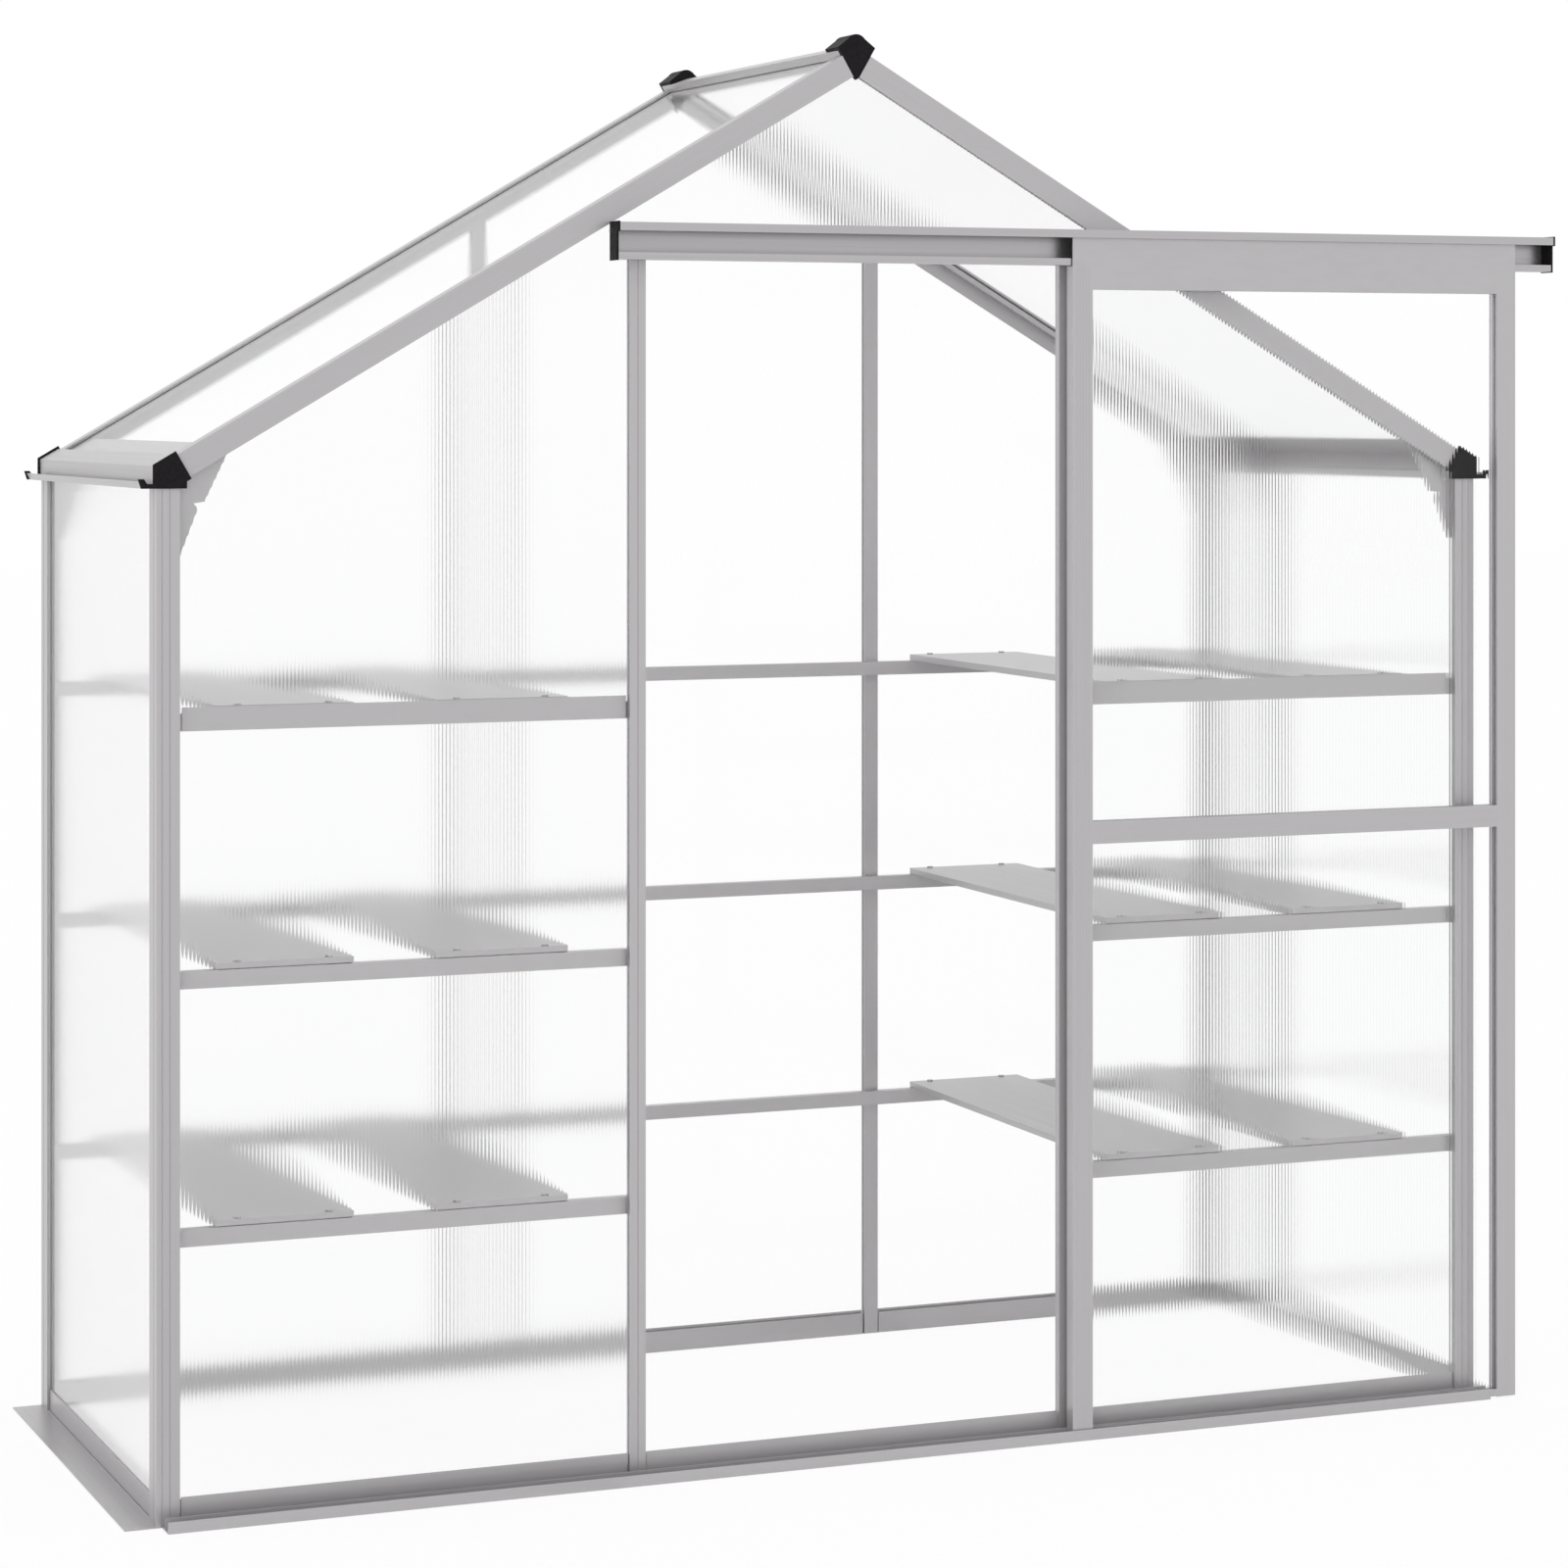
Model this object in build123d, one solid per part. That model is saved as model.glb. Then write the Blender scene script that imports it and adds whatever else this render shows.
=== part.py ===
from build123d import *
import os
from math import cos, radians, sin, tan

# Walk-in greenhouse with a sliding door. All sizes are in millimetres.
# X runs along the front, Y from front to back, Z up from the ground.

# Main sizes of the house
WALL_WIDTH = 1898.0
WALL_DEPTH = 691.0
EAVE_HEIGHT = 1299.0
ROOF_PITCH = 30.31
BAY_WIDTH = 620.0

# Glazing sheet and the channel that holds it
SHEET = 4.0
SLOT_PLAY = 0.2
SLOT_INSET = 4.8
SLOT_DEEP = 10.0
EDGE_PLAY = 2.0
WALL = 1.5
LEG = 12.2
FIT = 0.2
OVERCUT = 1.0

# Ground frame
FLOOR = 1.5
LIP_OUT = 33.4
LIP_HIGH = 14.8
RIB_OUT = 17.0
RIB_TOP = 16.0
RISER_TOP = 35.0
INNER_TOP = 31.0
SIDE_RISER_TOP = 32.0
SEAT = 20.0
FLANGE_OUT = 40.4
SILL_INSET = 7.0
SILL_OVERRUN = 8.0
NOTCH_GAP = 2.0
BEAD_WIDE = 2.0
BEAD_HIGH = 1.2
BEAD_GAP = 0.8

# Corner posts, door jambs and back mullions
POST_FRONT = 30.0
POST_SIDE = 38.7
POST_GROOVES = (7.0, 17.0)
POST_SIDE_GROOVE = 15.0
GROOVE_WIDE = 1.6
GROOVE_DEEP = 0.8
LINE_WIDE = 1.4
LINE_DEEP = 0.15
JAMB_WIDE = 22.0
JAMB_SLOT = 8.0
JAMB_EDGE_PLAY = 1.0

# Roof
RAFTER_TALL = 32.0
RAFTER_DEEP = 26.0
RAFTER_PLATE = 3.0
RAFTER_LIP = 7.0
RAFTER_LINES = 6
RAFTER_LINE_PITCH = 4.4
EAVE_RISE = 27.0
EAVE_CUT = 24.0
RIDGE_CUT = 20.6
RIDGE_LIP = 8.0
RIDGE_PEAK = 4.0
RIDGE_KEEL = 10.0
CAP_DEEP = 6.0
CAP_HOOD = 45.0
CAP_SHOULDER = 13.1
CAP_TOP_HALF = 12.0
CAP_TOP_EDGE = 11.1
CAP_CROWN = 17.4
CAP_TIP = 43.6
BEAM_TOP = 2.0
BEAM_OUT = 2.0
BEAM_IN = 35.3
BEAM_FACE = 32.0
BEAM_LIP = 42.0
CAP_PROUD = 3.0
CAP_TROUGH = 6.0
GUTTER_FLOOR = 2.0
GUTTER_WIDE = 13.5
GUTTER_LIP = 9.0
GUTTER_LEAN = 4.0
BEAM_VOID = (12.0, 32.0, 2.0, 18.0)
EAVE_CAP = 3.0

# Gussets behind the gable walls
GUSSET = 2.0
GUSSET_LOW = 84.0
GUSSET_FOOT = 33.0
GUSSET_REACH = 94.0
GUSSET_LOBES = ((55.0, -27.0), (51.0, -19.0), (64.0, -17.0))
POST_BOLTS = ((21.0, 68.0), (21.0, 20.0))
RAFTER_BOLTS = (62.0, 84.0)
RAFTER_BOLT_N = 22.0
BOLT_R = 3.0
BOLT_PLAY = 0.1
BOLT_HEAD_R = 5.5
BOLT_HEAD = 3.5

# Door track
TRACK_OVERRUN = 36.0
TRACK_LENGTH = 1406.0
TRACK_TALL = 48.5
HOOD_OUT = 33.4
HOOD_LIP = 11.0
TRAY_OUT = 27.0
TRAY_LIP = 9.5
TRACK_CAP = 3.0
TRACK_CAP_PROUD = 1.2
GABLE_RAIL = 13.0
GABLE_RAIL_SHORT = 6.0

# Sliding door
DOOR_WIDTH = 694.0
DOOR_FRONT = 30.4
DOOR_DEEP = 19.0
DOOR_FOOT = 2.0
DOOR_GAP = 1.0
DOOR_LAP = 5.0
STILE = 30.0
STILE_SOLID_FOOT = 28.0
STILE_LINES = 5
STILE_LINE_PITCH = 4.6
DOOR_SLOT_FRONT = 5.0
PLATE = 2.0
PLATE_UP = 40.5
TOP_RAIL = 31.5
MID_RAIL = 30.5
MID_RAIL_Z = 807.6
MID_RAIL_LINES = 6
MID_RAIL_LINE_PITCH = 4.4
BOTTOM_RAIL = 10.0
BOTTOM_RAIL_WEB = 3.0
BOTTOM_RAIL_BASE = 3.0
RIB_PLAY = 0.5
SHOE = 1.0

# Door rollers
ROLLER_R = 13.0
ROLLER_WIDE = 10.0
ROLLER_FRONT = 22.0
ROLLER_INSET = 60.0
ROLLER_RIM = 3.0
ROLLER_HUB_R = 6.0
ROLLER_DISH = 1.5
ROLL_GAP = 0.3
AXLE_R = 3.0
AXLE_PLAY = 0.05
AXLE_HEAD_R = 5.0
AXLE_HEAD = 2.0
AXLE_SHOULDER_R = 4.5
AXLE_SHOULDER = 2.4
AXLE_SIDE_GAP = 0.5

# Shelves
SHELF_TOPS = (368.0, 692.0, 1016.0)
FRONT_RAIL_TALL = 22.0
FRONT_RAIL_DEEP = 14.6
BACK_RAIL_TALL = 20.0
STRIP_TALL = 30.0
STRIP = 2.4
STRIP_GAP = 5.0
BOARD_WIDE = 179.0
BOARD_TALL = 9.0
BOARD_SKIN = 1.5
FLAP_GAP = 1.4
BOARD_PITCH = 289.0
LEFT_BOARD_INSET = 79.0
RIGHT_BOARD_INSET = 64.0
SCREW_R = 2.0
SCREW_PLAY = 0.1
SCREW_HEAD_R = 4.5
SCREW_HEAD = 1.8
SCREW_EDGE = 30.0

# Values that follow from the ones above
HALF = WALL_WIDTH / 2
FRONT = -WALL_DEPTH / 2
PITCH = radians(ROOF_PITCH)
SLOPE = tan(PITCH)
SLOT = SHEET + 2 * SLOT_PLAY
SLOT_BACK = SLOT_INSET + SLOT
SHEET_NEAR = SLOT_INSET + SLOT_PLAY
SHEET_FAR = SHEET_NEAR + SHEET
SHEET_BITE = SLOT_DEEP - EDGE_PLAY
RIDGE_Z = EAVE_HEIGHT + EAVE_RISE + HALF * SLOPE
S_TOP = RIDGE_CUT / cos(PITCH)
S_LOW = (HALF - EAVE_CUT) / cos(PITCH)
ROOF_SLOT_TOP = -RAFTER_PLATE
ROOF_SLOT_LOW = ROOF_SLOT_TOP - SLOT
ROOF_TOP = ROOF_SLOT_TOP - SLOT_PLAY
ROOF_LOW = ROOF_TOP - SHEET
JAMB_X = BAY_WIDTH / 2
JAMB_OUTER = JAMB_X + JAMB_WIDE / 2
JAMB_INNER = JAMB_X - JAMB_WIDE / 2
JAMB_BITE = JAMB_SLOT - JAMB_EDGE_PLAY
TRACK_LEFT = JAMB_X + TRACK_OVERRUN
TRACK_RIGHT = TRACK_LENGTH - TRACK_LEFT
SHEET_BASE = SEAT + FIT
RAIL_NEAR = LEG + FIT


def depth(d):
    return FRONT + d


def roof(s, n):
    return (-s * cos(PITCH) - n * sin(PITCH), RIDGE_Z - s * sin(PITCH) + n * cos(PITCH))


def line_z(x, n):
    return RIDGE_Z + n / cos(PITCH) - abs(x) * SLOPE


def block(x0, x1, d0, d1, z0, z1):
    centre = Pos((x0 + x1) / 2, depth((d0 + d1) / 2), (z0 + z1) / 2)
    return centre * Box(x1 - x0, d1 - d0, z1 - z0)


def along_y(points, d0, d1):
    outline = Polyline(*[(x, depth(d0), z) for x, z in points], close=True)
    return extrude(make_face(outline), amount=d1 - d0, dir=(0, 1, 0))


def slab(s0, s1, n0, n1, d0, d1):
    return along_y([roof(s0, n0), roof(s1, n0), roof(s1, n1), roof(s0, n1)], d0, d1)


def rod(x, z, r, d0, d1):
    turned = Pos(x, depth((d0 + d1) / 2), z) * Rot(90, 0, 0)
    return turned * Cylinder(r, d1 - d0)


def upright(x, y, r, z0, z1):
    return Pos(x, y, (z0 + z1) / 2) * Cylinder(r, z1 - z0)


def line_starts(middle, count, pitch):
    first = middle - (count - 1) / 2 * pitch - LINE_WIDE / 2
    return [first + step * pitch for step in range(count)]


def flip_x(shape):
    return mirror(shape, about=Plane.YZ)


def flip_y(shape):
    return mirror(shape, about=Plane.XZ)


nodes = {}


def add(name, *shapes):
    found = []
    for shape in shapes:
        found.extend(shape.solids())
    nodes[name] = found


def add_pair(left_name, right_name, shape):
    add(left_name, shape)
    add(right_name, flip_x(shape))


def add_corners(stem, shape):
    add_pair("front_left_" + stem, "front_right_" + stem, shape)
    add_pair("back_left_" + stem, "back_right_" + stem, flip_y(shape))


# Front and back sills: lip, guide rib and glazing channel on one floor
def sill(front_left, front_right):
    side = HALF - SILL_INSET
    body = block(front_left, front_right, -LIP_OUT, 0, 0, FLOOR)
    body += block(-side, side, 0, SLOT_BACK + WALL, 0, FLOOR)
    body += block(front_left, front_right, -LIP_OUT, -LIP_OUT + WALL, 0, LIP_HIGH)
    body += block(front_left, front_right, -RIB_OUT, -RIB_OUT + WALL, 0, RIB_TOP)
    body += block(-side, side, SLOT_INSET - WALL, SLOT_INSET, 0, RISER_TOP)
    body += block(-side, side, SLOT_BACK, SLOT_BACK + WALL, 0, INNER_TOP)
    body += block(-side, side, SLOT_INSET - WALL, SLOT_BACK + WALL, SEAT - WALL, SEAT)
    feet = [(-HALF, -HALF + POST_FRONT), (-JAMB_OUTER, -JAMB_INNER)]
    feet += [(-right, -left) for left, right in feet]
    for left, right in feet:
        reach = SLOT_BACK + WALL + OVERCUT
        body -= block(left - NOTCH_GAP, right + NOTCH_GAP, -OVERCUT, reach, FLOOR, RISER_TOP + OVERCUT)
    return body


add("front_sill", sill(-HALF + SILL_INSET, HALF + SILL_OVERRUN))
add("back_sill", flip_y(sill(-HALF + SILL_INSET, HALF - SILL_INSET)))

# Side base rails: ground flange and glazing channel
channel_in = -HALF + SLOT_BACK + WALL
channel_out = -HALF + SLOT_INSET - WALL
rail_start = POST_SIDE + NOTCH_GAP
rail_end = WALL_DEPTH - rail_start
base_rail = block(-HALF - FLANGE_OUT, channel_in, 0, WALL_DEPTH, 0, FLOOR)
base_rail += block(channel_out, channel_out + WALL, rail_start, rail_end, 0, SIDE_RISER_TOP)
base_rail += block(channel_in - WALL, channel_in, rail_start, rail_end, 0, INNER_TOP)
base_rail += block(channel_out, channel_in, rail_start, rail_end, SEAT - WALL, SEAT)
bead_in = channel_out - BEAD_GAP
base_rail += block(bead_in - BEAD_WIDE, bead_in, rail_start, rail_end, 0, FLOOR + BEAD_HIGH)
sill_end = block(
    -HALF + SILL_INSET - FIT, channel_in + OVERCUT, -OVERCUT, SLOT_BACK + WALL + FIT, -OVERCUT, SEAT
)
base_rail -= sill_end + flip_y(sill_end)
add_pair("left_base_rail", "right_base_rail", base_rail)

# Corner posts: hollow angle with a slot along each leg
post_low = FLOOR - OVERCUT
post_high = EAVE_HEIGHT + OVERCUT
post = block(-HALF, -HALF + POST_FRONT, 0, LEG, FLOOR, EAVE_HEIGHT)
post += block(-HALF, -HALF + LEG, 0, POST_SIDE, FLOOR, EAVE_HEIGHT)
front_slot = -HALF + POST_FRONT - SLOT_DEEP
side_slot = POST_SIDE - SLOT_DEEP
post -= block(front_slot, -HALF + POST_FRONT + OVERCUT, SLOT_INSET, SLOT_BACK, post_low, post_high)
post -= block(-HALF + SLOT_INSET, -HALF + SLOT_BACK, side_slot, POST_SIDE + OVERCUT, post_low, post_high)
post -= block(-HALF + WALL, front_slot - WALL, WALL, LEG - WALL, post_low, post_high)
post -= block(-HALF + WALL, -HALF + LEG - WALL, WALL, side_slot - WALL, post_low, post_high)
for mark in POST_GROOVES:
    left = -HALF + mark - GROOVE_WIDE / 2
    post -= block(left, left + GROOVE_WIDE, -OVERCUT, GROOVE_DEEP, post_low, post_high)
near = POST_SIDE_GROOVE - GROOVE_WIDE / 2
post -= block(-HALF - OVERCUT, -HALF + GROOVE_DEEP, near, near + GROOVE_WIDE, post_low, post_high)
add_corners("post", post)

# Door jambs end under the gable rail, back mullions under the rafters
TRACK_TOP = line_z(TRACK_LEFT, -RAFTER_TALL) - FIT
TRACK_LOW = TRACK_TOP - TRACK_TALL
GABLE_RAIL_LOW = TRACK_TOP - GABLE_RAIL


def middle_groove(top):
    near = -JAMB_X - GROOVE_WIDE / 2
    return block(near, near + GROOVE_WIDE, -OVERCUT, GROOVE_DEEP, FLOOR - OVERCUT, top + OVERCUT)


def jamb_slot(x0, x1, top):
    return block(x0, x1, SLOT_INSET, SLOT_BACK, FLOOR - OVERCUT, top + OVERCUT)


jamb = block(-JAMB_OUTER, -JAMB_INNER, 0, LEG, FLOOR, GABLE_RAIL_LOW)
jamb -= jamb_slot(-JAMB_OUTER - OVERCUT, -JAMB_OUTER + JAMB_SLOT, GABLE_RAIL_LOW)
jamb -= middle_groove(GABLE_RAIL_LOW)
add_pair("left_door_jamb", "right_door_jamb", jamb)

mullion_out = line_z(JAMB_OUTER, -RAFTER_TALL) - FIT
mullion_in = line_z(JAMB_INNER, -RAFTER_TALL) - FIT
mullion = along_y(
    [(-JAMB_OUTER, FLOOR), (-JAMB_INNER, FLOOR), (-JAMB_INNER, mullion_in), (-JAMB_OUTER, mullion_out)],
    0,
    LEG,
)
mullion -= jamb_slot(-JAMB_OUTER - OVERCUT, -JAMB_OUTER + JAMB_SLOT, mullion_in)
mullion -= jamb_slot(-JAMB_INNER - JAMB_SLOT, -JAMB_INNER + OVERCUT, mullion_in)
mullion -= middle_groove(mullion_in)
add_pair("left_back_mullion", "right_back_mullion", flip_y(mullion))

# Rafters: gable leg with a slot below, roof plate and lip around the roof sheet
S_FOOT = S_LOW - FIT
over_top = S_TOP - OVERCUT
over_low = S_LOW + OVERCUT
slot_end = -RAFTER_TALL + SLOT_DEEP
rafter = slab(S_TOP, S_FOOT, -RAFTER_TALL, 0, 0, LEG)
rafter -= slab(over_top, over_low, -RAFTER_TALL - OVERCUT, slot_end, SLOT_INSET, SLOT_BACK)
rafter -= slab(over_top, over_low, slot_end + WALL, -WALL, WALL, LEG - WALL)
rafter += slab(S_TOP, S_FOOT, -RAFTER_PLATE, 0, 0, RAFTER_DEEP)
rafter += slab(S_TOP, S_FOOT, ROOF_SLOT_LOW - RAFTER_LIP, ROOF_SLOT_LOW, LEG - WALL, RAFTER_DEEP)
for low in line_starts(-RAFTER_TALL / 2, RAFTER_LINES, RAFTER_LINE_PITCH):
    rafter -= slab(over_top, over_low, low, low + LINE_WIDE, -OVERCUT, LINE_DEEP)
add_corners("rafter", rafter)

# Ridge beam between the rafters, with a hooded cap on each end
ridge_near = CAP_DEEP
ridge_far = WALL_DEPTH - CAP_DEEP
shoulder = roof(S_TOP, RIDGE_LIP)
keel = roof(S_TOP, -RIDGE_KEEL)
ridge = along_y(
    [shoulder, (0, RIDGE_Z + RIDGE_PEAK), (-shoulder[0], shoulder[1]), (-keel[0], keel[1]), keel],
    ridge_near,
    ridge_far,
)
slot_from = S_TOP - SLOT_DEEP
slot_to = S_TOP + OVERCUT
over_near = ridge_near - OVERCUT
over_far = ridge_far + OVERCUT
ridge_slot = slab(slot_from, slot_to, ROOF_SLOT_LOW, ROOF_SLOT_TOP, over_near, over_far)
ridge -= ridge_slot
ridge -= flip_x(ridge_slot)
add("ridge_beam", ridge)

cap_side = roof(S_TOP - FIT, CAP_SHOULDER)
cap_keel = roof(S_TOP - FIT, -RAFTER_TALL)
cap_edge = (-CAP_TOP_HALF, RIDGE_Z + CAP_TOP_EDGE)
tip_z = RIDGE_Z - CAP_TIP


def at_front(x, z):
    return (x, FRONT, z)


cap_line = Polyline(
    at_front(*cap_edge),
    at_front(*cap_side),
    at_front(*cap_keel),
    at_front(0, tip_z),
    at_front(-cap_keel[0], cap_keel[1]),
    at_front(-cap_side[0], cap_side[1]),
    at_front(-cap_edge[0], cap_edge[1]),
)
cap_crown = ThreePointArc(
    at_front(-cap_edge[0], cap_edge[1]), at_front(0, RIDGE_Z + CAP_CROWN), at_front(*cap_edge)
)
ridge_cap = extrude(make_face([cap_line, cap_crown]), amount=CAP_DEEP, dir=(0, 1, 0))
hood_foot = roof(S_TOP - FIT, RIDGE_LIP + FIT)
hood_line = Polyline(
    at_front(*cap_edge),
    at_front(*cap_side),
    at_front(*hood_foot),
    at_front(0, RIDGE_Z + RIDGE_PEAK + FIT),
    at_front(-hood_foot[0], hood_foot[1]),
    at_front(-cap_side[0], cap_side[1]),
    at_front(-cap_edge[0], cap_edge[1]),
)
ridge_cap += extrude(make_face([hood_line, cap_crown]), amount=CAP_HOOD, dir=(0, 1, 0))
add("ridge_caps", ridge_cap, flip_y(ridge_cap))

# Eave beams with a gutter outside and a lip under the roof sheet, and their end caps
gutter_edge = -HALF - BEAM_OUT - GUTTER_WIDE
gutter_tip = gutter_edge - GUTTER_LEAN
beam_outer = -HALF - BEAM_OUT
beam_inner = -HALF + BEAM_IN


def eave_outline(proud, floor, lip):
    outer = beam_outer - proud
    inner = beam_inner + proud
    apex = roof(S_LOW - proud, BEAM_TOP + proud)
    low = roof(S_LOW - proud, -BEAM_FACE - proud)
    return [
        (outer, line_z(outer, BEAM_TOP + proud)),
        apex,
        low,
        (inner, low[1] - (low[0] - inner) * SLOPE),
        (inner, EAVE_HEIGHT),
        (gutter_edge - WALL - proud, EAVE_HEIGHT),
        (gutter_tip - WALL - proud, EAVE_HEIGHT + lip),
        (gutter_tip + proud, EAVE_HEIGHT + lip),
        (gutter_edge + proud, EAVE_HEIGHT + floor),
        (outer, EAVE_HEIGHT + floor),
    ]


beam = along_y(eave_outline(0, GUTTER_FLOOR, GUTTER_LIP), 0, WALL_DEPTH)
lip_near = RAFTER_DEEP + FIT
lip_far = WALL_DEPTH - lip_near
beam += slab(S_LOW - BEAM_LIP, S_LOW + WALL, ROOF_SLOT_LOW - WALL, ROOF_SLOT_LOW, lip_near, lip_far)
beam -= slab(
    S_LOW - OVERCUT, S_LOW + SLOT_DEEP, ROOF_SLOT_LOW, ROOF_SLOT_TOP, -OVERCUT, WALL_DEPTH + OVERCUT
)
side_low = EAVE_HEIGHT - OVERCUT
side_high = EAVE_HEIGHT + SLOT_DEEP
over_depth = WALL_DEPTH + OVERCUT
beam -= block(-HALF + SLOT_INSET, -HALF + SLOT_BACK, -OVERCUT, over_depth, side_low, side_high)
void_out, void_in, void_low, void_high = BEAM_VOID
beam -= block(
    -HALF + void_out, -HALF + void_in, -OVERCUT, over_depth, EAVE_HEIGHT + void_low, EAVE_HEIGHT + void_high
)
add_pair("left_eave_beam", "right_eave_beam", beam)

eave_cap = along_y(eave_outline(CAP_PROUD, CAP_TROUGH, GUTTER_LIP + CAP_PROUD), -EAVE_CAP, 0)
left_caps = [eave_cap, flip_y(eave_cap)]
add("eave_caps", *left_caps, *[flip_x(cap) for cap in left_caps])

# Gussets tie each post to its rafter, behind the gable sheet
gusset_near = RAIL_NEAR
gusset_far = gusset_near + GUSSET
gusset_left = -HALF + LEG + FIT
gusset_right = -HALF + GUSSET_REACH
gusset_top = ROOF_SLOT_LOW - RAFTER_LIP - FIT
gusset_arm = roof(S_LOW - EDGE_PLAY, gusset_top)
gusset_throat = roof(S_LOW - EDGE_PLAY, -BEAM_FACE - EDGE_PLAY)
gusset_neck = beam_inner + EDGE_PLAY
neck_z = gusset_throat[1] - (gusset_throat[0] - gusset_neck) * SLOPE
gusset_points = [(gusset_left, EAVE_HEIGHT - GUSSET_LOW), (-HALF + GUSSET_FOOT, EAVE_HEIGHT - GUSSET_LOW)]
gusset_points += [(-HALF + x, EAVE_HEIGHT + z) for x, z in GUSSET_LOBES]
gusset_points += [
    (gusset_right, line_z(gusset_right, -RAFTER_TALL)),
    (gusset_right, line_z(gusset_right, gusset_top)),
    gusset_arm,
    gusset_throat,
    (gusset_neck, neck_z),
    (gusset_neck, EAVE_HEIGHT - FIT),
    (gusset_left, EAVE_HEIGHT - FIT),
]
gusset = along_y(gusset_points, gusset_near, gusset_far)
bolt_spots = [(-HALF + x, EAVE_HEIGHT - z) for x, z in POST_BOLTS]
bolt_spots += [(-HALF + x, line_z(-HALF + x, -RAFTER_BOLT_N)) for x in RAFTER_BOLTS]
bolts = []
for x, z in bolt_spots:
    gusset -= rod(x, z, BOLT_R + BOLT_PLAY, gusset_near - OVERCUT, gusset_far + OVERCUT)
    head = extrude(RegularPolygon(BOLT_HEAD_R, 6), amount=BOLT_HEAD)
    bolt = Pos(x, depth(gusset_far), z) * Rot(-90, 0, 0) * head
    bolts.append(bolt + rod(x, z, BOLT_R, LEG, gusset_far))
left_gussets = [gusset, flip_y(gusset)]
add("eave_gussets", *left_gussets, *[flip_x(plate) for plate in left_gussets])
left_bolts = bolts + [flip_y(bolt) for bolt in bolts]
add("gusset_bolts", *left_bolts, *[flip_x(bolt) for bolt in left_bolts])

# Door track: hooded channel open to the front, with end caps
track = block(-TRACK_LEFT, TRACK_RIGHT, -WALL, 0, TRACK_LOW, TRACK_TOP)
track += block(-TRACK_LEFT, TRACK_RIGHT, -HOOD_OUT, 0, TRACK_TOP - WALL, TRACK_TOP)
track += block(-TRACK_LEFT, TRACK_RIGHT, -HOOD_OUT, WALL - HOOD_OUT, TRACK_TOP - HOOD_LIP, TRACK_TOP)
track += block(-TRACK_LEFT, TRACK_RIGHT, -TRAY_OUT, 0, TRACK_LOW, TRACK_LOW + WALL)
track += block(-TRACK_LEFT, TRACK_RIGHT, -TRAY_OUT, WALL - TRAY_OUT, TRACK_LOW, TRACK_LOW + TRAY_LIP)
add("door_track", track)


def track_cap(x0, x1):
    hood_low = TRACK_TOP - HOOD_LIP - TRACK_CAP_PROUD
    hood = block(x0, x1, -HOOD_OUT, 0, hood_low, TRACK_TOP + TRACK_CAP_PROUD)
    return hood + block(x0, x1, -TRAY_OUT, 0, TRACK_LOW - TRACK_CAP_PROUD, hood_low)


left_track_cap = track_cap(-TRACK_LEFT - TRACK_CAP, -TRACK_LEFT)
add("track_end_caps", left_track_cap, track_cap(TRACK_RIGHT, TRACK_RIGHT + TRACK_CAP))

# Gable rail on top of the jambs holds the gable sheet
gable_half = TRACK_LEFT - GABLE_RAIL_SHORT
gable_rail = block(-gable_half, gable_half, SLOT_INSET - WALL, SLOT_BACK + WALL, GABLE_RAIL_LOW, TRACK_TOP)
gable_over = gable_half + OVERCUT
gable_seat = GABLE_RAIL_LOW + WALL
gable_rail -= block(-gable_over, gable_over, SLOT_INSET, SLOT_BACK, gable_seat, TRACK_TOP + OVERCUT)
add("gable_rail", gable_rail)

# Sliding door frame
door_left = JAMB_X - DOOR_LAP
door_right = door_left + DOOR_WIDTH
inner_left = door_left + STILE
inner_right = door_right - STILE
door_near = -DOOR_FRONT
door_far = door_near + DOOR_DEEP
door_top = TRACK_LOW - DOOR_GAP
slot_near = door_near + DOOR_SLOT_FRONT
slot_far = slot_near + SLOT
shoe_near = -RIB_OUT - RIB_PLAY - SHOE
shoe_far = -RIB_OUT + WALL + RIB_PLAY + SHOE
shoe_top = RIB_TOP + RIB_PLAY + SHOE


def stile(x0, slot_x0, void_x0):
    void_x1 = void_x0 + STILE - SLOT_DEEP - 2 * WALL
    body = block(x0, x0 + STILE, door_near, door_far, DOOR_FOOT, door_top)
    body -= block(
        slot_x0, slot_x0 + SLOT_DEEP + OVERCUT, slot_near, slot_far, DOOR_FOOT - OVERCUT, door_top + OVERCUT
    )
    body -= block(
        void_x0, void_x1, door_near + WALL, door_far - WALL, STILE_SOLID_FOOT, door_top + OVERCUT
    )
    body -= block(x0 - OVERCUT, x0 + STILE + OVERCUT, shoe_near, shoe_far, DOOR_FOOT - OVERCUT, shoe_top)
    return body


left_stile = stile(door_left, inner_left - SLOT_DEEP, door_left + WALL)
line_front = door_near - OVERCUT
line_back = door_near + LINE_DEEP
for left in line_starts(door_left + STILE / 2, STILE_LINES, STILE_LINE_PITCH):
    right = left + LINE_WIDE
    left_stile -= block(left, right, line_front, line_back, DOOR_FOOT - OVERCUT, door_top + OVERCUT)
add("door_left_stile", left_stile)
add("door_right_stile", stile(inner_right, inner_right - OVERCUT, inner_right + SLOT_DEEP + WALL))

# Hanger plate of the door, tucked behind the hood of the track
plate_far = door_near + PLATE
rail_low = door_top - TOP_RAIL
plate = block(door_left, door_right, door_near, plate_far, door_top, door_top + PLATE_UP)
plate += block(inner_left, inner_right, door_near, plate_far, rail_low, door_top)
add("door_hanger_plate", plate)


def rail_slot(z0, z1):
    return block(inner_left - OVERCUT, inner_right + OVERCUT, slot_near, slot_far, z0, z1)


def rail_void(near, z0, z1):
    return block(inner_left - OVERCUT, inner_right + OVERCUT, near + WALL, door_far - WALL, z0, z1)


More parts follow.
